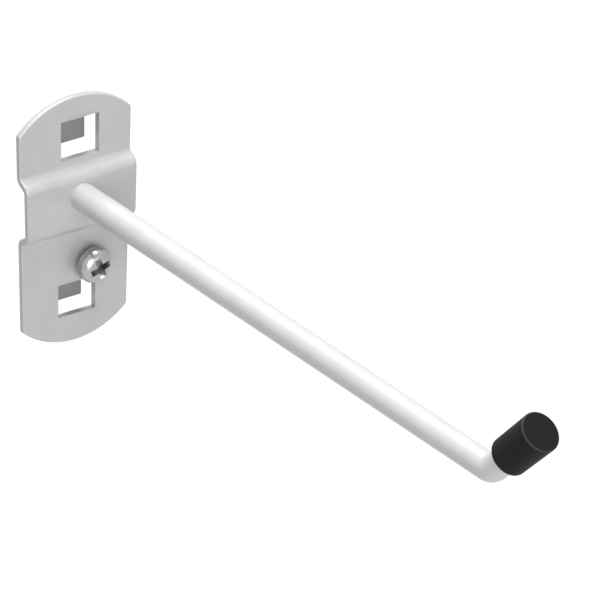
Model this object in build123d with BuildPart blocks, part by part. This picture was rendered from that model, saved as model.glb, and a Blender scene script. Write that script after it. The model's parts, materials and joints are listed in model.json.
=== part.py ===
from build123d import *
import os
from math import cos, radians, sin, tan

# Tool hook for a perforated steel panel, in millimetres.
# X runs to the right, Y runs back into the panel and Z runs up.
# The back faces of the plate's two pads lie in Y = 0, on the front of the panel.
# Z = 0 is the underside of the upper lug, the edge that hangs on the panel.

# Panel
panel_pitch = 38.0              # spacing of the panel's square holes
panel_room = 2.0                # clear depth behind the pads for the panel's sheet

# Back plate, stamped from sheet
sheet = 1.5
plate_top_width = 28.3          # across the upper corners
plate_bottom_width = 26.1       # across the lower corners
plate_crown = 6.1               # from the upper lug's underside up to the plate's top
side_length = 46.0              # height of the straight sides
top_arch = 6.0                  # rise of the arched upper end
bottom_arch = 5.1               # drop of the arched lower end
corner_rounding = 1.0
edge_rounding = 0.4

# Raised band across the middle of the plate
band_drop = 11.1                # from the upper lug's underside to the middle of the upper ramp
band_height = 13.0              # between the middles of the two ramps
band_offset = 2.7               # how far it stands forward of the pads
ramp_angle = 62.0               # slope of the ramps against the pads
ramp_bend = 0.8                 # inside radius of the ramps' bends

# Lugs lanced out of the plate, and the windows that they leave
lug_width = 6.8
lug_bend = 0.3                  # inside radius of the lugs' bends
lug_root = 0.6                  # flat sheet above the first bend that belongs to the lug
lip_rounding = 0.4
upper_lip_drop = 6.0            # from the lug's underside to the end of its lip
lower_lip_drop = 4.6
upper_window_width = 9.6
lower_window_width = 9.3
upper_window_shift = 1.2        # windows and lugs stand to the right of the centre line
lower_window_shift = 0.4
window_relief = 0.8             # height of the window's top edge above the lug's underside
upper_window_depth = 8.3        # from the lug's underside to the window's lower edge
lower_window_depth = 6.7

# Rod
rod_diameter = 6.1
rod_drop = 5.05                 # from the middle of the upper ramp down to the rod's axis
rod_reach = 151.7               # from the band's front face to the corner of the bend
bend_angle = 47.5
bend_radius = 4.0               # at the rod's axis
tip_lean = 15.0                 # turn of the bend to the right, about the rod's axis
rod_end_chamfer = 0.5
tenon_shoulder = 1.0            # step from the rod down to the tenon that goes through the band
tenon_clearance = 0.05
rivet_inset = 0.4               # step from the rod's outline to the upset head's
rivet_rounding = 1.2
rivet_side = 0.4                # straight side of the upset head under its rounding

# End cap
cap_length = 12.0
cap_setback = 4.5               # bare rod between the bend and the cap's mouth
cap_wall = 1.35                 # at the mouth
cap_flare = 0.4                 # growth in diameter from the mouth to the end
cap_end_wall = 2.0
cap_clearance = 0.05
cap_end_rounding = 0.4
cap_mouth_rounding = 0.25

# Locking screw
thread_diameter = 4.0
thread_clearance = 0.05
screw_length = 6.0              # under the head
screw_standoff = 2.0            # gap left under the head
screw_side_shift = 3.1          # to the right of the centre line
screw_web = 1.1                 # sheet left between the lower lug's bend and the screw's hole
screw_tip_chamfer = 0.6
head_diameter = 8.0
head_height = 3.2
head_rounding = 2.2
recess_span = 4.8
recess_slot = 1.3
recess_depth = 1.7
recess_taper = 12.0
recess_turn = 19.0

# Levels that several pieces share
plate_top = plate_crown
side_top = plate_top - top_arch
side_bottom = side_top - side_length
plate_bottom = side_bottom - bottom_arch
plate_depth = panel_room + sheet + band_offset + sheet

pad_middle = -sheet / 2
band_middle = pad_middle - band_offset
band_back = -band_offset
band_front = band_back - sheet
lip_middle = panel_room + sheet / 2

ramp_bend_middle = ramp_bend + sheet / 2
ramp_half_height = band_offset / 2 / tan(radians(ramp_angle))
upper_ramp = -band_drop
lower_ramp = upper_ramp - band_height

rod_radius = rod_diameter / 2
tenon_radius = rod_radius - tenon_shoulder
rod_height = upper_ramp - rod_drop

lower_seat = -panel_pitch
lug_bend_top = sheet + lug_bend
hole_radius = thread_diameter / 2 + thread_clearance
screw_height = lower_seat + lug_bend_top + screw_web + hole_radius

# Line of the rod's upturned tip
lean_direction = Vector(sin(radians(tip_lean)), 0, cos(radians(tip_lean)))
tip_direction = Vector(0, -cos(radians(bend_angle)), 0) + lean_direction * sin(radians(bend_angle))
bend_plane = Plane(
    origin=(0, band_front - rod_reach, rod_height),
    x_dir=(0, 1, 0),
    z_dir=Vector(0, 1, 0).cross(lean_direction),
)
bend_tangent = bend_radius * tan(radians(bend_angle) / 2)
cap_mouth = bend_plane.origin + tip_direction * (bend_tangent + cap_setback)
tip_length = bend_tangent + cap_setback + cap_length - cap_end_wall
cap_plane = Plane(origin=cap_mouth, x_dir=(1, 0, 0), z_dir=tip_direction)
tip_axis = Axis(cap_mouth, tip_direction)
cap_bore_radius = rod_radius + cap_clearance
cap_mouth_radius = cap_bore_radius + cap_wall
cap_end_radius = cap_mouth_radius + cap_flare / 2

lugs = [
    (0.0, upper_window_shift, upper_window_width, upper_window_depth, upper_lip_drop),
    (lower_seat, lower_window_shift, lower_window_width, lower_window_depth, lower_lip_drop),
]

os.makedirs("parts", exist_ok=True)

# Back plate: a sheet with a raised band, an arched outline and two lugs behind
with BuildPart() as back_plate:
    with BuildSketch(Plane.YZ):
        with BuildLine():
            FilletPolyline(
                (pad_middle, plate_top),
                (pad_middle, upper_ramp + ramp_half_height),
                (band_middle, upper_ramp - ramp_half_height),
                (band_middle, lower_ramp + ramp_half_height),
                (pad_middle, lower_ramp - ramp_half_height),
                (pad_middle, plate_bottom),
                radius=ramp_bend_middle,
            )
        trace(line_width=sheet)
    extrude(amount=plate_top_width + plate_bottom_width, both=True)

    with BuildSketch(Plane.XZ) as outline:
        with BuildLine():
            top_left = (-plate_top_width / 2, side_top)
            top_right = (plate_top_width / 2, side_top)
            bottom_left = (-plate_bottom_width / 2, side_bottom)
            bottom_right = (plate_bottom_width / 2, side_bottom)
            ThreePointArc(top_left, (0, plate_top), top_right)
            Line(top_right, bottom_right)
            ThreePointArc(bottom_right, (0, plate_bottom), bottom_left)
            Line(bottom_left, top_left)
        make_face()
        fillet(outline.vertices(), corner_rounding)
    extrude(amount=plate_depth, both=True, mode=Mode.INTERSECT)
    rim = back_plate.edges().filter_by(Axis.X, reverse=True).filter_by(Axis.Y, reverse=True)
    fillet(rim, edge_rounding)

    for seat, side_shift, window_width, window_depth, lip_drop in lugs:
        # Window, with the sheet cut up to the bend where the lug leaves it
        with BuildSketch(Plane.XZ):
            with Locations((side_shift, seat + window_relief)):
                Rectangle(window_width, window_relief + window_depth, align=(Align.CENTER, Align.MAX))
            with Locations((side_shift, seat + lug_bend_top)):
                Rectangle(lug_width, lug_bend_top, align=(Align.CENTER, Align.MAX))
        extrude(amount=plate_depth, both=True, mode=Mode.SUBTRACT)

        # Lug: back through the panel's hole, then down behind the panel
        with BuildSketch(Plane.YZ.offset(side_shift)):
            with BuildLine():
                FilletPolyline(
                    (pad_middle, seat + lug_bend_top + lug_root),
                    (pad_middle, seat + sheet / 2),
                    (lip_middle, seat + sheet / 2),
                    (lip_middle, seat - lip_drop),
                    radius=lug_bend + sheet / 2,
                )
            trace(line_width=sheet)
        extrude(amount=lug_width / 2, both=True)
        behind = back_plate.edges().filter_by(Axis.Y).filter_by_position(Axis.Y, 0, plate_depth)
        fillet(behind.group_by(Axis.Z)[0], lip_rounding)

    with BuildSketch(Plane.XZ):
        with Locations((0, rod_height)):
            Circle(tenon_radius + tenon_clearance)
        with Locations((screw_side_shift, screw_height)):
            Circle(hole_radius)
    extrude(amount=plate_depth, both=True, mode=Mode.SUBTRACT)
back_plate.part.label = "back_plate"
export_step(back_plate.part, "parts/back_plate.step")

# Rod: riveted into the band, straight out, then bent up at the tip
with BuildPart() as hook_rod:
    with BuildLine(bend_plane) as rod_line:
        FilletPolyline(
            (rod_reach, 0),
            (0, 0),
            (-tip_length * cos(radians(bend_angle)), tip_length * sin(radians(bend_angle))),
            radius=bend_radius,
        )
    with BuildSketch(Plane.XZ.offset(-band_front)):
        with Locations((0, rod_height)):
            Circle(rod_radius)
    sweep(path=rod_line.wire())
    chamfer(hook_rod.faces().sort_by(tip_axis)[-1].edges(), rod_end_chamfer)

    with BuildSketch(Plane.XZ.offset(-band_front)):
        with Locations((0, rod_height)):
            Circle(tenon_radius)
    extrude(amount=-sheet)
    with BuildSketch(Plane.XZ.offset(-band_back)):
        with Locations((0, rod_height)):
            Circle(rod_radius - rivet_inset)
    extrude(amount=-(rivet_side + rivet_rounding))
    fillet(hook_rod.faces().sort_by(Axis.Y)[-1].edges(), rivet_rounding)
hook_rod.part.label = "hook_rod"
export_step(hook_rod.part, "parts/hook_rod.step")

# End cap: a closed sleeve pushed over the tip
with BuildPart() as end_cap:
    with BuildSketch(cap_plane):
        Circle(cap_mouth_radius)
    with BuildSketch(cap_plane.offset(cap_length)):
        Circle(cap_end_radius)
    loft()
    fillet(end_cap.faces().sort_by(tip_axis)[-1].edges(), cap_end_rounding)
    fillet(end_cap.faces().sort_by(tip_axis)[0].edges(), cap_mouth_rounding)
    with BuildSketch(cap_plane):
        Circle(cap_bore_radius)
    extrude(amount=cap_length - cap_end_wall, mode=Mode.SUBTRACT)
end_cap.part.label = "end_cap"
export_step(end_cap.part, "parts/end_cap.step")

# Locking screw: pan head with a cross recess, threaded through the lower pad
head_seat = Plane.XZ.offset(sheet + screw_standoff)
with BuildPart() as locking_screw:
    with BuildSketch(head_seat):
        with Locations((screw_side_shift, screw_height)):
            Circle(head_diameter / 2)
    extrude(amount=head_height)
    fillet(locking_screw.faces().sort_by(Axis.Y)[0].edges(), head_rounding)
    with BuildSketch(head_seat):
        with Locations((screw_side_shift, screw_height)):
            Circle(thread_diameter / 2)
    extrude(amount=-screw_length)
    chamfer(locking_screw.faces().sort_by(Axis.Y)[-1].edges(), screw_tip_chamfer)
    with BuildSketch(head_seat.offset(head_height)):
        with Locations(Location((screw_side_shift, screw_height), recess_turn)):
            Rectangle(recess_span, recess_slot)
            Rectangle(recess_slot, recess_span)
    extrude(amount=-recess_depth, taper=recess_taper, mode=Mode.SUBTRACT)
locking_screw.part.label = "locking_screw"
export_step(locking_screw.part, "parts/locking_screw.step")
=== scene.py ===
import json
from math import cos, pi, radians, sin

import bmesh
import bpy
from bpy.props import FloatProperty, FloatVectorProperty, IntProperty, PointerProperty
from mathutils import Matrix, Vector


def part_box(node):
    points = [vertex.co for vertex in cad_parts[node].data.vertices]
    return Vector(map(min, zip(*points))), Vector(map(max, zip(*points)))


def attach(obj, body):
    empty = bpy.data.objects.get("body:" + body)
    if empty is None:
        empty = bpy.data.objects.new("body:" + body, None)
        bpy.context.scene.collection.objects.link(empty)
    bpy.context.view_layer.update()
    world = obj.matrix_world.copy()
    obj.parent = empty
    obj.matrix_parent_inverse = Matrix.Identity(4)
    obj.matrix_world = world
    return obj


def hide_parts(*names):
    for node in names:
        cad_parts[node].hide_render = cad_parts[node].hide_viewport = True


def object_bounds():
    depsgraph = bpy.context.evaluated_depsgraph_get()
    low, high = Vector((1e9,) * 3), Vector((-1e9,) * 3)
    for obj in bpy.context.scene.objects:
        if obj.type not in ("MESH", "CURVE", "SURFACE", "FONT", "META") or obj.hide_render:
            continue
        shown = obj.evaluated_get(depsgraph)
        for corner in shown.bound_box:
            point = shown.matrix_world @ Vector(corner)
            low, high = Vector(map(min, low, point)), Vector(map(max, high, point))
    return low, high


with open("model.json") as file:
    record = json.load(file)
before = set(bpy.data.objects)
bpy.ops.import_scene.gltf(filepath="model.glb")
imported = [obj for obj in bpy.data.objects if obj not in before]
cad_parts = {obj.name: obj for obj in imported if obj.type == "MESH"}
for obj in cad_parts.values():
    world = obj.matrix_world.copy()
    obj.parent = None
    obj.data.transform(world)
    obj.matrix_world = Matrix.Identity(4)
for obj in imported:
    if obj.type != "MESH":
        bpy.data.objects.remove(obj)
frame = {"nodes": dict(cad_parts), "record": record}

# Tool hook for a perforated panel: plate, rod, end cap and locking screw.
# Every length is in metres. X runs right, Y runs back into the panel and Z runs up.

bl_info = {
    "name": "Panel Tool Hook",
    "version": (1, 0, 0),
    "blender": (4, 5, 0),
    "location": "View3D > Sidebar > Tool Hook",
    "description": "Dresses a coated tool hook with its cap and locking screw, and sets its stage",
    "category": "Object",
}

CAD_LOW, CAD_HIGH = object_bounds()
SLOT_COLOURS = {slot["slot"]: slot["base_color"] for slot in frame["record"]["materials"]}
SCREW_LOW, SCREW_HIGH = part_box("locking_screw")
MM = 0.001
TINY = 0.001 * MM

# Lowest and highest roughness of each finish
COAT_ROUGHNESS = (0.36, 0.42)
CAP_ROUGHNESS = (0.6, 0.7)
ZINC_ROUGHNESS = (0.2, 0.32)

# How strongly each finish's ripple or grain shows
COAT_RELIEF = 0.6
CAP_RELIEF = 0.6
ZINC_RELIEF = 0.2

# Noise levels that the mottle takes as its dark and its light
MOTTLE_LIMITS = (0.3, 0.7)

# Sockets of a Mix node that mixes colours
MIX_FIRST, MIX_SECOND, MIX_RESULT = 6, 7, 2

# How far a face of the plate looks forward where the painted shade on faces across the sheet (window walls,
# outer edges and rim) starts, and where it is full
SIDE_SHADE_FACING = (0.5, 0.25)

# Depth behind the plate's back over which the coat turns to the lugs' painted shade
LUG_SHADE_FADE = 0.5 * MM

# How the rod's tip turns, and the cap with it
BEND_ANGLE = radians(47.5)
TIP_LEAN = radians(15)

# How far the cap's surface looks along its axis where the painted highlight on the end's rounded rim starts
# and where it ends
RING_HIGHLIGHT_START = (0.1, 0.4)
RING_HIGHLIGHT_END = (0.99, 0.85)

# Screw's head: steps in its rounding, share of a wing's width at the bottom, how far the cutter stands out
HEAD_STEPS = 10
RECESS_NARROWING = 0.7
RECESS_LID = 0.5 * MM

# Screw's thread: shares of its pitch, and the turns made over and above its length, which are cut off
THREAD_DEPTH = 0.613
THREAD_CREST = 1 / 8
THREAD_ROOT = 2 / 8
THREAD_FLANK = 5 / 16
SPARE_TURNS = 2

# Turn between two faces of the screw from which their edge stays sharp
SHARP_ANGLE = radians(35)

# Soft square lamps: place, length of the sides and power
LAMPS = {
    "top_back": ((0.0, 0.6, 1.7), 1.2, 21.0),
    "top": ((0.0, -0.08, 1.8), 1.2, 31.0),
    "front_left": ((-0.8, -1.7, 0.4), 1.2, 19.0),
    "front": ((0.0, -1.9, 0.0), 1.6, 6.0),
}


# Sizes and colours

class CoatSettings(bpy.types.PropertyGroup):
    """Powder coat on the plate and the rod."""
    tone: FloatVectorProperty(
        name="Tone", description="Colour of the coat", subtype="COLOR", min=0, max=1,
        default=SLOT_COLOURS["coated_steel"])
    mottle: FloatProperty(
        name="Mottle", description="How far the tone strays from place to place", default=0.035,
        min=0, max=1, subtype="FACTOR")
    flake: FloatProperty(
        name="Flake", description="Share of metal flake in the coat", default=0.15,
        min=0, max=1, subtype="FACTOR")
    # Painted light: the rod's coat is a lighter copy of the plate's coat, standing in for the strong light
    # on the rod's top
    rod_painted_light: FloatProperty(
        name="Rod Lift", description="How much lighter the coat is on the rod than on the plate",
        default=1.1, min=0)
    # Painted shade: faces across the sheet (sheared window walls, outer edges and rim) are darkened by this
    # share
    wall_painted_shade: FloatProperty(
        name="Wall Tone", description="Share of the tone left on the sheared walls", default=0.88,
        min=0, max=1, subtype="FACTOR")
    # Painted shade: the lugs, seen through the windows behind the plate, are darkened by this share
    lug_painted_shade: FloatProperty(
        name="Lug Tone", description="Share of the tone left on the lugs", default=0.46,
        min=0, max=1, subtype="FACTOR")
    peel_size: FloatProperty(
        name="Peel", description="Spacing of the coat's soft ripple", default=0.9 * MM, unit="LENGTH")
    peel_height: FloatProperty(
        name="Peel Height", description="Height of the coat's soft ripple",
        default=0.006 * MM, unit="LENGTH")
    mottle_size: FloatProperty(
        name="Mottle Size", description="Spacing of the coat's slow mottle", default=5.4 * MM, unit="LENGTH")
    edge_softness: FloatProperty(
        name="Edge Softness", description="Radius that the coat gives to sheared edges", default=0.2 * MM,
        unit="LENGTH")


class CapSettings(bpy.types.PropertyGroup):
    """Moulded plastic of the end cap."""
    tone: FloatVectorProperty(
        name="Tone", description="Colour of the plastic", subtype="COLOR", min=0, max=1,
        default=(0.006, 0.006, 0.0055))
    mottle: FloatProperty(
        name="Mottle", description="How far the tone strays from place to place", default=0.15,
        min=0, max=1, subtype="FACTOR")
    sheen: FloatProperty(
        name="Sheen", description="Strength of the plastic's reflection", default=0.15,
        min=0, max=1, subtype="FACTOR")
    # Painted highlight: the rounded rim between the cap's side and its end is made lighter by this factor
    ring_painted_highlight: FloatProperty(
        name="Ring Lift", description="How much lighter the rubbed edge of the end is", default=8.0, min=0)
    grain_size: FloatProperty(
        name="Grain", description="Spacing of the moulded grain", default=0.22 * MM, unit="LENGTH")
    grain_height: FloatProperty(
        name="Grain Height", description="Height of the moulded grain", default=0.006 * MM, unit="LENGTH")
    mottle_size: FloatProperty(
        name="Mottle Size", description="Spacing of the slow mottle", default=2.64 * MM, unit="LENGTH")
    edge_softness: FloatProperty(
        name="Edge Softness", description="Radius of the moulded edges", default=0.2 * MM, unit="LENGTH")


class ScrewSettings(bpy.types.PropertyGroup):
    """Zinc-plated pan-head screw."""
    tone: FloatVectorProperty(
        name="Tone", description="Colour of the zinc", subtype="COLOR", min=0, max=1,
        default=(0.4, 0.4, 0.4))
    bloom_dark: FloatProperty(
        name="Bloom Dark", description="Share of the tone in the dark of the bloom", default=0.9, min=0)
    bloom_light: FloatProperty(
        name="Bloom Light", description="Share of the tone in the light of the bloom", default=1.12, min=0)
    bloom_size: FloatProperty(
        name="Bloom Size", description="Spacing of the cloudy bloom", default=1.2 * MM, unit="LENGTH")
    ripple_size: FloatProperty(
        name="Ripple", description="Spacing of the plating's ripple", default=0.35 * MM, unit="LENGTH")
    ripple_height: FloatProperty(
        name="Ripple Height", description="Height of the plating's ripple",
        default=0.006 * MM, unit="LENGTH")
    head_height: FloatProperty(
        name="Head Height", description="From the head's underside to its top",
        default=3.2 * MM, unit="LENGTH")
    head_rounding: FloatProperty(
        name="Head Rounding", description="Radius round the top of the head",
        default=2.2 * MM, unit="LENGTH")
    head_crown: FloatProperty(
        name="Head Crown", description="Rise of the head's top towards its middle", default=0.15 * MM,
        unit="LENGTH")
    head_chamfer: FloatProperty(
        name="Head Chamfer", description="Broken edge round the head's underside",
        default=0.2 * MM, unit="LENGTH")
    recess_span: FloatProperty(
        name="Recess Span", description="Across opposite wings of the cross recess", default=5.6 * MM,
        unit="LENGTH")
    recess_slot: FloatProperty(
        name="Recess Slot", description="Width of a wing at the top", default=1.6 * MM, unit="LENGTH")
    recess_depth: FloatProperty(
        name="Recess Depth", description="Depth of the cross recess", default=2.2 * MM, unit="LENGTH")
    recess_floor: FloatProperty(
        name="Recess Floor", description="Across the wings at the bottom of the recess", default=2.3 * MM,
        unit="LENGTH")
    recess_turn: FloatProperty(
        name="Recess Turn", description="Turn of the cross about the screw's axis", default=radians(19),
        subtype="ANGLE")
    thread_diameter: FloatProperty(
        name="Thread", description="Across the thread's crests", default=4.0 * MM, unit="LENGTH")
    thread_pitch: FloatProperty(
        name="Pitch", description="Rise of one turn of the thread", default=0.7 * MM, unit="LENGTH")
    tip_chamfer: FloatProperty(
        name="Tip Chamfer", description="Chamfer at the screw's tip", default=0.6 * MM, unit="LENGTH")
    round_steps: IntProperty(
        name="Steps", description="Steps in one turn of the screw's round forms", default=72, min=12)


class StageSettings(bpy.types.PropertyGroup):
    """Floor, light and camera."""
    floor_level: FloatProperty(
        name="Floor Level", description="Height of the floor", default=-0.28, unit="LENGTH")
    floor_size: FloatProperty(
        name="Floor Size", description="Length of the floor's sides", default=8.0, unit="LENGTH")
    floor_tone: FloatProperty(
        name="Floor Tone", description="Brightness of the floor's surface", default=0.4, min=0, max=1,
        subtype="FACTOR")
    ambient: FloatProperty(
        name="Ambient", description="Strength of the light from all round", default=0.1, min=0)
    camera_turn: FloatProperty(
        name="Camera Turn", description="Turn of the camera about the vertical, from straight in front",
        default=radians(-34.273), subtype="ANGLE")
    camera_lift: FloatProperty(
        name="Camera Lift", description="Height of the camera above the horizon", default=radians(26.618),
        subtype="ANGLE")
    camera_roll: FloatProperty(
        name="Camera Roll", description="Turn of the picture about its middle", default=radians(0.309),
        subtype="ANGLE")
    camera_distance: FloatProperty(
        name="Camera Distance", description="From the camera to the point it aims at", default=5.5,
        unit="LENGTH")
    camera_aim: FloatVectorProperty(
        name="Camera Aim", description="Point at the middle of the picture", subtype="TRANSLATION",
        default=(3.67 * MM, -80 * MM, -9.865 * MM))
    camera_span: FloatProperty(
        name="Camera Span", description="Width of the picture at the point it aims at", default=124.50 * MM,
        unit="LENGTH")


# Node building

def add_node(tree, kind, inputs=None, **settings):
    """Adds a node, sets its settings, and links or sets each named input."""
    made = tree.nodes.new(kind)
    for name, value in settings.items():
        setattr(made, name, value)
    for name, value in (inputs or {}).items():
        if isinstance(value, bpy.types.NodeSocket):
            tree.links.new(value, made.inputs[name])
        else:
            made.inputs[name].default_value = value
    return made


def new_group(name, inputs, outputs):
    """An empty shader group with named sockets: its tree, its inputs and its output node."""
    tree = bpy.data.node_groups.new(name, "ShaderNodeTree")
    for direction, sockets in (("INPUT", inputs), ("OUTPUT", outputs)):
        for socket, kind in sockets:
            tree.interface.new_socket(name=socket, in_out=direction, socket_type="NodeSocket" + kind)
    return tree, tree.nodes.new("NodeGroupInput").outputs, tree.nodes.new("NodeGroupOutput")


def share_between(tree, value, start, end):
    """A value from 0 at start to 1 at end, and no further."""
    made = add_node(tree, "ShaderNodeMapRange", {"Value": value, "From Min": start, "From Max": end})
    return made.outputs["Result"]


def ranged(tree, value, low, high):
    """A value from low to high, for one that goes from 0 to 1."""
    made = add_node(tree, "ShaderNodeMapRange", {"Value": value, "To Min": low, "To Max": high})
    return made.outputs["Result"]


def surface_grain():
    """Shared group: soft ripple and fine speckle as a height, and a slow mottle from 0 to 1."""
    name = "Surface Grain"
    if name in bpy.data.node_groups:
        return bpy.data.node_groups[name]
    tree, given, out = new_group(
        name,
        [("Vector", "Vector"), ("Ripple Scale", "Float"), ("Mottle Scale", "Float")],
        [("Height", "Float"), ("Mottle", "Float")])
    ripple = add_node(tree, "ShaderNodeTexNoise", {
        "Vector": given["Vector"], "Scale": given["Ripple Scale"], "Detail": 3.0, "Roughness": 0.45})
    mottle = add_node(tree, "ShaderNodeTexNoise", {
        "Vector": given["Vector"], "Scale": given["Mottle Scale"], "Detail": 4.0, "Roughness": 0.6})
    tree.links.new(ripple.outputs["Fac"], out.inputs["Height"])
    tree.links.new(share_between(tree, mottle.outputs["Fac"], *MOTTLE_LIMITS), out.inputs["Mottle"])
    return tree


def soft_edge():
    """Shared group: a normal that rounds the edges within a radius."""
    name = "Soft Edge"
    if name in bpy.data.node_groups:
        return bpy.data.node_groups[name]
    tree, given, out = new_group(name, [("Radius", "Float")], [("Normal", "Vector")])
    softened = add_node(tree, "ShaderNodeBevel", {"Radius": given["Radius"]}, samples=6)
    tree.links.new(softened.outputs["Normal"], out.inputs["Normal"])
    return tree


def new_material(name):
    """An empty material with its shader: the material, its tree and its Principled node."""
    material = bpy.data.materials.new(name)
    material.use_nodes = True
    tree = material.node_tree
    return material, tree, tree.nodes["Principled BSDF"]


def scaled(colour, factor):
    """The colour, lighter or darker by the factor, with full alpha."""
    return tuple(min(1.0, channel * factor) for channel in colour) + (1.0,)


def mixed_colour(tree, mask, first, second):
    """A colour that goes from first to second with the mask."""
    mix = add_node(
        tree, "ShaderNodeMix", {"Factor": mask, MIX_FIRST: first, MIX_SECOND: second}, data_type="RGBA")
    return mix.outputs[MIX_RESULT]


# Finishes

def lug_shade_mask(tree, place):
    """Mask of the plate's lugs, which stand behind its back face, where painted shade darkens the coat."""
    depth = add_node(tree, "ShaderNodeSeparateXYZ", {"Vector": place}).outputs["Y"]
    return share_between(tree, depth, 0.0, LUG_SHADE_FADE)


def side_face_shade_mask(tree):
    """Mask of painted shade on the faces that look across the sheet: the sheared walls in the windows and
    the plate's outer edges and rim.
    """
    facing = add_node(tree, "ShaderNodeNewGeometry").outputs["Normal"]
    forward = add_node(tree, "ShaderNodeSeparateXYZ", {"Vector": facing}).outputs["Y"]
    size = add_node(tree, "ShaderNodeMath", {0: forward}, operation="ABSOLUTE").outputs[0]
    return share_between(tree, size, *SIDE_SHADE_FACING)


def silver_coat(coat, name, tone, is_sheet):
    """Smooth satin powder coat in silver grey, with painted shade on the sheet's side faces and lugs when it
    coats the sheet.
    """
    material, tree, shader = new_material(name)
    place = add_node(tree, "ShaderNodeTexCoord").outputs["Object"]
    grain = add_node(tree, "ShaderNodeGroup", {
        "Vector": place, "Ripple Scale": 1 / coat.peel_size, "Mottle Scale": 1 / coat.mottle_size,
    }, node_tree=surface_grain())
    edge = add_node(tree, "ShaderNodeGroup", {"Radius": coat.edge_softness}, node_tree=soft_edge())
    body = mixed_colour(
        tree, grain.outputs["Mottle"], scaled(tone, 1 - coat.mottle), scaled(tone, 1 + coat.mottle))
    # Painted shade: darker coat on the side faces across the sheet and on the lugs behind the windows
    if is_sheet:
        body = mixed_colour(tree, side_face_shade_mask(tree), body, scaled(tone, coat.wall_painted_shade))
        body = mixed_colour(tree, lug_shade_mask(tree, place), body, scaled(tone, coat.lug_painted_shade))
    tree.links.new(body, shader.inputs["Base Color"])
    tree.links.new(ranged(tree, grain.outputs["Mottle"], *COAT_ROUGHNESS), shader.inputs["Roughness"])
    shader.inputs["Metallic"].default_value = coat.flake
    bump = add_node(tree, "ShaderNodeBump", {
        "Height": grain.outputs["Height"], "Normal": edge.outputs["Normal"],
        "Strength": COAT_RELIEF, "Distance": coat.peel_height})
    tree.links.new(bump.outputs["Normal"], shader.inputs["Normal"])
    return material


def cap_ring_highlight_mask(tree):
    """Mask of the rounded edge between the cap's side and its end, where a highlight is painted."""
    axis = Matrix.Rotation(TIP_LEAN, 3, "Y") @ Vector((0, -cos(BEND_ANGLE), sin(BEND_ANGLE)))
    facing = add_node(tree, "ShaderNodeNewGeometry").outputs["Normal"]
    along = add_node(
        tree, "ShaderNodeVectorMath", {0: facing, 1: axis}, operation="DOT_PRODUCT").outputs["Value"]
    rise, fall = (share_between(tree, along, *limits) for limits in (RING_HIGHLIGHT_START, RING_HIGHLIGHT_END))
    return add_node(tree, "ShaderNodeMath", {0: rise, 1: fall}, operation="MULTIPLY").outputs[0]


def black_plastic_with_highlight(cap):
    """Matt black moulded plastic with a fine grain, and a painted highlight on the rim of its end."""
    material, tree, shader = new_material("black_plastic_with_highlight")
    place = add_node(tree, "ShaderNodeTexCoord").outputs["Object"]
    grain = add_node(tree, "ShaderNodeGroup", {
        "Vector": place, "Ripple Scale": 1 / cap.grain_size, "Mottle Scale": 1 / cap.mottle_size,
    }, node_tree=surface_grain())
    edge = add_node(tree, "ShaderNodeGroup", {"Radius": cap.edge_softness}, node_tree=soft_edge())
    body = mixed_colour(
        tree, grain.outputs["Mottle"], scaled(cap.tone, 1 - cap.mottle), scaled(cap.tone, 1 + cap.mottle))
    # Painted highlight on the rounded rim of the cap's end
    painted_highlight = mixed_colour(tree, cap_ring_highlight_mask(tree), body, scaled(cap.tone, cap.ring_painted_highlight))
    tree.links.new(painted_highlight, shader.inputs["Base Color"])
    tree.links.new(ranged(tree, grain.outputs["Mottle"], *CAP_ROUGHNESS), shader.inputs["Roughness"])
    shader.inputs["Specular IOR Level"].default_value = cap.sheen
    bump = add_node(tree, "ShaderNodeBump", {
        "Height": grain.outputs["Height"], "Normal": edge.outputs["Normal"],
        "Strength": CAP_RELIEF, "Distance": cap.grain_height})
    tree.links.new(bump.outputs["Normal"], shader.inputs["Normal"])
    return material


def bright_zinc(screw):
    """Bright zinc plate with a faint cloudy bloom."""
    material, tree, shader = new_material("bright_zinc")
    place = add_node(tree, "ShaderNodeTexCoord").outputs["Object"]
    grain = add_node(tree, "ShaderNodeGroup", {
        "Vector": place, "Ripple Scale": 1 / screw.ripple_size, "Mottle Scale": 1 / screw.bloom_size,
    }, node_tree=surface_grain())
    body = mixed_colour(
        tree, grain.outputs["Mottle"],
        scaled(screw.tone, screw.bloom_dark), scaled(screw.tone, screw.bloom_light))
    tree.links.new(body, shader.inputs["Base Color"])
    tree.links.new(ranged(tree, grain.outputs["Mottle"], *ZINC_ROUGHNESS), shader.inputs["Roughness"])
    shader.inputs["Metallic"].default_value = 1.0
    bump = add_node(tree, "ShaderNodeBump", {
        "Height": grain.outputs["Height"], "Strength": ZINC_RELIEF, "Distance": screw.ripple_height})
    tree.links.new(bump.outputs["Normal"], shader.inputs["Normal"])
    return material


def dress_node(name, material):
    """Gives a CAD node its finish."""
    node = frame["nodes"][name]
    node.data.materials.clear()
    node.data.materials.append(material)


def new_piece(name, mesh, body, material):
    """Links a finished mesh as a piece that rides on a body."""
    piece = bpy.data.objects.new(name, mesh)
    bpy.context.scene.collection.objects.link(piece)
    mesh.materials.append(material)
    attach(piece, body)
    return piece


def mark_sharp_edges(bm, angle):
    """Smooth faces, with the edges that turn more than the angle kept sharp."""
    for face in bm.faces:
        face.smooth = True
    for edge in bm.edges:
        edge.smooth = not (len(edge.link_faces) == 2 and edge.calc_face_angle() > angle)


def mesh_from(bm, name):
    """A mesh with what was built, which is then let go."""
    mesh = bpy.data.meshes.new(name)
    bm.to_mesh(mesh)
    bm.free()
    return mesh


# Locking screw

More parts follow.
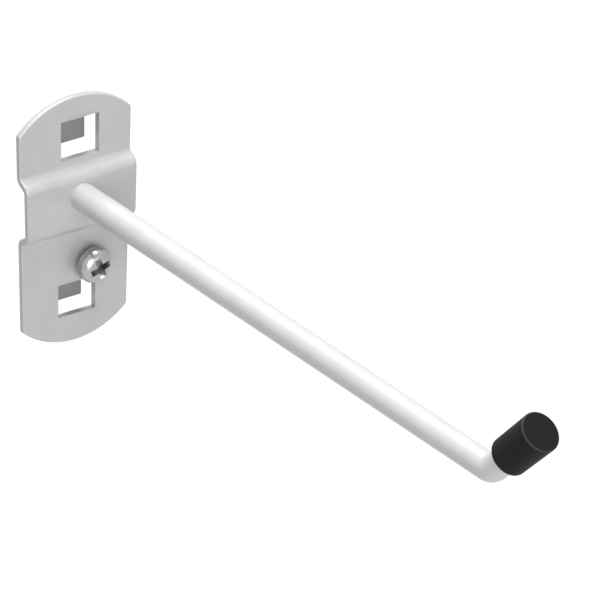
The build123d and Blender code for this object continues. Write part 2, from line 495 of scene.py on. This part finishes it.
def spun_head(screw, radius, front):
    """Pan head, with its outline spun about the screw's axis."""
    seat = front + screw.head_height
    shoulder = front + screw.head_crown
    bm = bmesh.new()
    centre = Vector((radius - screw.head_rounding, shoulder + screw.head_rounding, 0))
    rim = [bm.verts.new(centre + Vector((screw.head_rounding, 0, 0)))]
    bmesh.ops.spin(
        bm, geom=rim, cent=centre, axis=(0, 0, -1), angle=pi / 2, steps=HEAD_STEPS, use_duplicate=False)
    round_end = min(bm.verts, key=lambda vert: vert.co.y)
    last = max(bm.verts, key=lambda vert: vert.co.x)
    for reach, level in (
            (radius, seat - screw.head_chamfer), (radius - screw.head_chamfer, seat), (0, seat)):
        first, last = last, bm.verts.new((reach, level, 0))
        bm.edges.new((first, last))
    pole = bm.verts.new((0, front, 0))
    bm.edges.new((round_end, pole))
    bmesh.ops.spin(
        bm, geom=bm.verts[:] + bm.edges[:], cent=(0, 0, 0), axis=(0, 1, 0), angle=2 * pi,
        steps=screw.round_steps, use_merge=True)
    bmesh.ops.remove_doubles(bm, verts=bm.verts[:], dist=TINY)
    bmesh.ops.recalc_face_normals(bm, faces=bm.faces[:])
    return bm


def recess_cutter(screw, front):
    """Cross with wings that narrow and draw in towards the bottom of the recess."""
    bm = bmesh.new()
    half = screw.recess_slot / 2
    bmesh.ops.create_grid(bm, x_segments=1, y_segments=1, size=half)
    for edge in bm.edges[:]:
        outward = (edge.verts[0].co + edge.verts[1].co).normalized()
        wing = bmesh.ops.extrude_edge_only(bm, edges=[edge])["geom"]
        ends = [part for part in wing if isinstance(part, bmesh.types.BMVert)]
        bmesh.ops.translate(bm, verts=ends, vec=outward * (screw.recess_span / 2 - half))
    top = bm.faces[:]
    bottom = bmesh.ops.extrude_face_region(bm, geom=top)["geom"]
    floor = [part for part in bottom if isinstance(part, bmesh.types.BMVert)]
    for vert in floor:
        long_way = 0 if abs(vert.co.x) > abs(vert.co.y) else 1
        if abs(vert.co[long_way]) > half + TINY:
            vert.co[long_way] *= screw.recess_floor / screw.recess_span
            vert.co[1 - long_way] *= RECESS_NARROWING
        else:
            vert.co *= RECESS_NARROWING
        vert.co.z -= screw.recess_depth
    lid = [vert for vert in bm.verts if vert.co.z > -TINY]
    bmesh.ops.translate(bm, verts=lid, vec=(0, 0, RECESS_LID))
    bmesh.ops.recalc_face_normals(bm, faces=bm.faces[:])
    stand = Matrix.Translation((0, front, 0)) @ Matrix.Rotation(pi / 2, 4, "X")
    bmesh.ops.transform(bm, verts=bm.verts[:], matrix=stand @ Matrix.Rotation(screw.recess_turn, 4, "Z"))
    return bm


def threaded_shank(screw, seat, tip):
    """Shank with a real thread: one turn's outline carried round and along the axis."""
    crest = screw.thread_diameter / 2
    pitch = screw.thread_pitch
    root = crest - THREAD_DEPTH * pitch
    start = seat - SPARE_TURNS * pitch
    turns = int((tip - start) / pitch) + SPARE_TURNS
    steps = screw.round_steps // 2
    flank_end = (THREAD_ROOT + THREAD_FLANK) * pitch
    outline = [
        (root, 0), (root, THREAD_ROOT * pitch), (crest, flank_end),
        (crest, flank_end + THREAD_CREST * pitch), (root, pitch)]
    bm = bmesh.new()
    verts = [bm.verts.new((reach, start + along, 0)) for reach, along in outline]
    for first, second in zip(verts, verts[1:]):
        bm.edges.new((first, second))
    bmesh.ops.spin(
        bm, geom=bm.verts[:] + bm.edges[:], cent=(0, 0, 0), axis=(0, 1, 0), angle=2 * pi * turns,
        steps=steps * turns, dvec=(0, pitch / steps, 0))
    bmesh.ops.remove_doubles(bm, verts=bm.verts[:], dist=2 * TINY)
    for level, way in ((seat, -1), (tip, 1)):
        bmesh.ops.bisect_plane(
            bm, geom=bm.verts[:] + bm.edges[:] + bm.faces[:], plane_co=(0, level, 0),
            plane_no=(0, way, 0), clear_outer=True)
    for vert in bm.verts:
        reach = Vector((vert.co.x, 0, vert.co.z)).length
        allowed = crest - screw.tip_chamfer + (tip - vert.co.y)
        if reach > allowed:
            vert.co.x *= allowed / reach
            vert.co.z *= allowed / reach
    rims = [edge for edge in bm.edges if edge.is_boundary]
    bmesh.ops.holes_fill(bm, edges=rims, sides=0)
    bmesh.ops.recalc_face_normals(bm, faces=bm.faces[:])
    return bm


def cut_mesh(solid, cutter):
    """The solid's mesh with the cutter's shape taken out of it."""
    pair = [bpy.data.objects.new(mesh.name, mesh) for mesh in (solid, cutter)]
    for each in pair:
        bpy.context.scene.collection.objects.link(each)
    cut = pair[0].modifiers.new("recess", "BOOLEAN")
    cut.object = pair[1]
    cut.operation = "DIFFERENCE"
    cut.solver = "EXACT"
    graph = bpy.context.evaluated_depsgraph_get()
    result = bpy.data.meshes.new_from_object(pair[0].evaluated_get(graph))
    for each in pair:
        bpy.data.objects.remove(each)
    return result


class HOOK_OT_coat_steel(bpy.types.Operator):
    """Coat the back plate and the rod"""
    bl_idname = "tool_hook.coat_steel"
    bl_label = "Coat Plate and Rod"

    def execute(self, context):
        coat = context.scene.hook_coat
        # Painted light: the rod gets a lighter copy of the plate's coat
        rod_lit_tone = scaled(coat.tone, coat.rod_painted_light)[:3]
        dress_node("back_plate", silver_coat(coat, "plate_coat_painted_shade", coat.tone, True))
        dress_node("hook_rod", silver_coat(coat, "rod_coat_painted_light", rod_lit_tone, False))
        return {"FINISHED"}


class HOOK_OT_finish_cap(bpy.types.Operator):
    """Give the end cap its moulded plastic"""
    bl_idname = "tool_hook.finish_cap"
    bl_label = "Finish End Cap"

    def execute(self, context):
        dress_node("end_cap", black_plastic_with_highlight(context.scene.hook_cap))
        return {"FINISHED"}


class HOOK_OT_make_screw(bpy.types.Operator):
    """Make the locking screw with its recess and thread"""
    bl_idname = "tool_hook.make_screw"
    bl_label = "Make Locking Screw"

    def execute(self, context):
        screw = context.scene.hook_screw
        middle = (SCREW_LOW + SCREW_HIGH) / 2
        radius = (SCREW_HIGH.x - SCREW_LOW.x) / 2
        front, tip = SCREW_LOW.y, SCREW_HIGH.y
        seat = front + screw.head_height
        head = mesh_from(spun_head(screw, radius, front), "screw_head")
        cutter = mesh_from(recess_cutter(screw, front), "screw_recess")
        bm = bmesh.new()
        bm.from_mesh(cut_mesh(head, cutter))
        shank = mesh_from(threaded_shank(screw, seat, tip), "screw_shank")
        bm.from_mesh(shank)
        bmesh.ops.translate(bm, verts=bm.verts[:], vec=(middle.x, 0, middle.z))
        mark_sharp_edges(bm, SHARP_ANGLE)
        mesh = mesh_from(bm, "zinc_locking_screw")
        piece = new_piece("zinc_locking_screw", mesh, "screw", bright_zinc(screw))
        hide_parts("locking_screw")
        return {"FINISHED"}


# Stage

def bright_to_eye(tree):
    """A mask of the rays that show the background: to the camera, in reflections and through glass."""
    rays = add_node(tree, "ShaderNodeLightPath").outputs
    seen = add_node(
        tree, "ShaderNodeMath", {0: rays["Is Camera Ray"], 1: rays["Is Glossy Ray"]}, operation="MAXIMUM")
    return add_node(
        tree, "ShaderNodeMath", {0: seen.outputs[0], 1: rays["Is Transmission Ray"]},
        operation="MAXIMUM").outputs[0]


def white_world(stage):
    """White all round to the eye, and an even soft light on surfaces."""
    world = bpy.data.worlds.new("white_studio")
    world.use_nodes = True
    tree = world.node_tree
    tree.nodes.clear()
    light = add_node(tree, "ShaderNodeBackground", {"Strength": stage.ambient})
    white = add_node(tree, "ShaderNodeBackground", {"Strength": 1.0})
    for each in (light, white):
        each.inputs["Color"].default_value = (1, 1, 1, 1)
    mix = add_node(tree, "ShaderNodeMixShader", {
        "Fac": bright_to_eye(tree), 1: light.outputs[0], 2: white.outputs[0]})
    add_node(tree, "ShaderNodeOutputWorld", {"Surface": mix.outputs[0]})
    return world


def pale_floor(stage):
    """Floor that takes a shadow, looks white from above and is clear from below."""
    material = bpy.data.materials.new("pale_floor")
    material.use_nodes = True
    tree = material.node_tree
    tree.nodes.clear()
    tone = stage.floor_tone
    surface = add_node(tree, "ShaderNodeBsdfDiffuse", {"Color": (tone, tone, tone, 1)})
    lift = add_node(tree, "ShaderNodeEmission", {"Color": (1, 1, 1, 1)})
    tree.links.new(ranged(tree, bright_to_eye(tree), 0.0, 1 - tone), lift.inputs["Strength"])
    both = add_node(tree, "ShaderNodeAddShader", {0: surface.outputs[0], 1: lift.outputs[0]})
    clear = add_node(tree, "ShaderNodeBsdfTransparent")
    side = add_node(tree, "ShaderNodeNewGeometry").outputs["Backfacing"]
    mix = add_node(tree, "ShaderNodeMixShader", {"Fac": side, 1: both.outputs[0], 2: clear.outputs[0]})
    add_node(tree, "ShaderNodeOutputMaterial", {"Surface": mix.outputs[0]})
    return material


def add_lamp(name, place, aim, size, power):
    """A soft square lamp that faces the point it aims at."""
    lamp = bpy.data.lights.new(name, "AREA")
    lamp.shape = "SQUARE"
    lamp.size = size
    lamp.energy = power
    holder = bpy.data.objects.new(name, lamp)
    bpy.context.scene.collection.objects.link(holder)
    holder.location = place
    holder.rotation_euler = (Vector(aim) - Vector(place)).to_track_quat("-Z", "Y").to_euler()
    holder.visible_camera = False


def add_camera(stage):
    """Long lens from the front left, looking down, as a catalogue picture is taken."""
    camera = bpy.data.cameras.new("camera")
    camera.sensor_width = 36.0
    camera.lens = camera.sensor_width * stage.camera_distance / stage.camera_span
    camera.clip_end = 2 * stage.camera_distance
    holder = bpy.data.objects.new("camera", camera)
    bpy.context.scene.collection.objects.link(holder)
    turn = Matrix.Rotation(stage.camera_turn, 4, "Z") @ Matrix.Rotation(pi / 2 - stage.camera_lift, 4, "X")
    roll = Matrix.Rotation(stage.camera_roll, 4, "Z")
    back = turn @ Vector((0, 0, stage.camera_distance))
    holder.matrix_world = Matrix.Translation(Vector(stage.camera_aim) + back) @ turn @ roll
    bpy.context.scene.camera = holder


class HOOK_OT_set_stage(bpy.types.Operator):
    """Lay the floor, hang the lamps and place the camera"""
    bl_idname = "tool_hook.set_stage"
    bl_label = "Set Stage"

    def execute(self, context):
        stage = context.scene.hook_stage
        context.scene.world = white_world(stage)
        bm = bmesh.new()
        bmesh.ops.create_grid(bm, x_segments=1, y_segments=1, size=stage.floor_size / 2)
        bmesh.ops.translate(bm, verts=bm.verts[:], vec=(0, 0, stage.floor_level))
        floor = bpy.data.objects.new("floor", mesh_from(bm, "floor"))
        floor.data.materials.append(pale_floor(stage))
        context.scene.collection.objects.link(floor)
        middle = (CAD_LOW + CAD_HIGH) / 2
        for name, (place, size, power) in LAMPS.items():
            add_lamp(name, place, middle, size, power)
        add_camera(stage)
        context.scene.view_settings.view_transform = "Standard"
        return {"FINISHED"}


class HOOK_PT_sidebar(bpy.types.Panel):
    """Tool hook settings and steps"""
    bl_idname = "HOOK_PT_sidebar"
    bl_label = "Tool Hook"
    bl_space_type = "VIEW_3D"
    bl_region_type = "UI"
    bl_category = "Tool Hook"

    def draw(self, context):
        layout = self.layout
        for operator, settings in STEPS:
            layout.operator(operator.bl_idname)
            group = getattr(context.scene, settings)
            for name in group.__annotations__:
                layout.prop(group, name)


STEPS = [
    (HOOK_OT_coat_steel, "hook_coat"),
    (HOOK_OT_finish_cap, "hook_cap"),
    (HOOK_OT_make_screw, "hook_screw"),
    (HOOK_OT_set_stage, "hook_stage"),
]
SETTINGS = {
    "hook_coat": CoatSettings,
    "hook_cap": CapSettings,
    "hook_screw": ScrewSettings,
    "hook_stage": StageSettings,
}


def register():
    for name, group in SETTINGS.items():
        bpy.utils.register_class(group)
        setattr(bpy.types.Scene, name, PointerProperty(type=group))
    for operator, _ in STEPS:
        bpy.utils.register_class(operator)
    bpy.utils.register_class(HOOK_PT_sidebar)


def unregister():
    bpy.utils.unregister_class(HOOK_PT_sidebar)
    for operator, _ in reversed(STEPS):
        bpy.utils.unregister_class(operator)
    for name, group in SETTINGS.items():
        delattr(bpy.types.Scene, name)
        bpy.utils.unregister_class(group)


def main():
    register()
    bpy.ops.tool_hook.coat_steel()
    bpy.ops.tool_hook.finish_cap()
    bpy.ops.tool_hook.make_screw()
    bpy.ops.tool_hook.set_stage()


if __name__ == "__main__":
    main()
